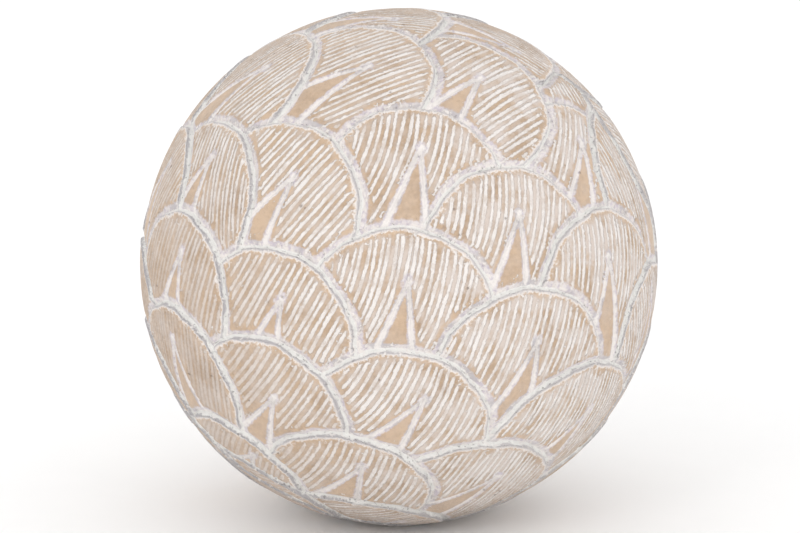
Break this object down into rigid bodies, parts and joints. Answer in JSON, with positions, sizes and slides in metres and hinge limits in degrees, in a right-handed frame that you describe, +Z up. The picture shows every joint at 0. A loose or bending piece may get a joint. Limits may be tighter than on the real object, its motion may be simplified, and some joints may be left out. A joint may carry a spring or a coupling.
{
  "type": "decorative sphere",
  "caption": "Round table ball carved all over with overlapping round-topped scales, each hatched and cut with a pointed dart, resting on a small flat.",
  "frame": {"origin": "centre of the small flat under the ball, on the surface it stands on", "axes": "+Z up; -Y is the side seen from the front; the scales point to a pole that lies up and to the right of it"},
  "size_m": [0.0996, 0.0996, 0.0987],
  "materials": {
    "resin": "matt tan cast resin with white limewash left in the carved lines"
  },
  "bodies": {
    "root": {"carved_ball": "resin"}
  },
  "joints": []
}
